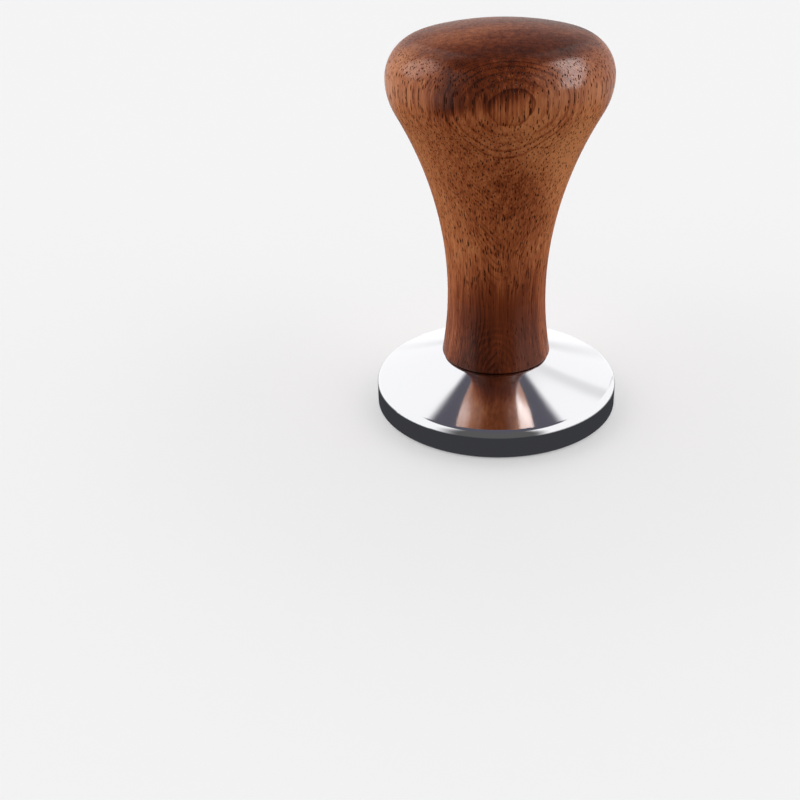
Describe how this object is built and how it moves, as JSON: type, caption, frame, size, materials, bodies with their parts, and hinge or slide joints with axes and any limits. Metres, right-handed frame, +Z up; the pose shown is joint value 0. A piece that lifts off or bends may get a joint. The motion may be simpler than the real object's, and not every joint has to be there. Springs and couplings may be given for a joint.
{
  "type": "espresso tamper",
  "caption": "Hand tamper for ground coffee: flat steel piston with a low cone, and a turned wooden handle that unscrews from it.",
  "frame": {"origin": "centre of the tamping face", "axes": "+Z up the tamper's axis towards the dome; the picture's viewer stands on the -Y side, with +X to the viewer's right"},
  "size_m": [0.058, 0.058, 0.0895],
  "materials": {
    "polished_steel": "mirror polished stainless steel",
    "lacquered_wood": "turned reddish-brown hardwood under clear lacquer",
    "insert_brass": "machined brass",
    "stud_steel": "plain machined steel",
    "black_rubber": "matt black rubber"
  },
  "bodies": {
    "piston_body": {"base": "polished_steel", "stud": "stud_steel"},
    "washer_body": {"seat_washer": "black_rubber"},
    "handle_body": {"handle": "lacquered_wood", "threaded_insert": "insert_brass"}
  },
  "joints": [
    {"name": "lift", "type": "slide", "parent": "piston_body", "child": "washer_body", "axis": [0, 0, 1], "range_m": [0, 0.01]},
    {"name": "turn", "type": "hinge", "parent": "washer_body", "child": "handle_body", "pos_m": [0, 0, 0.0138], "axis": [0, 0, 1], "range_deg": [0, 2880]}
  ],
  "couplings": [
    {"joint": "lift", "follows": "turn", "m_per_rad": 0.00019894}
  ]
}
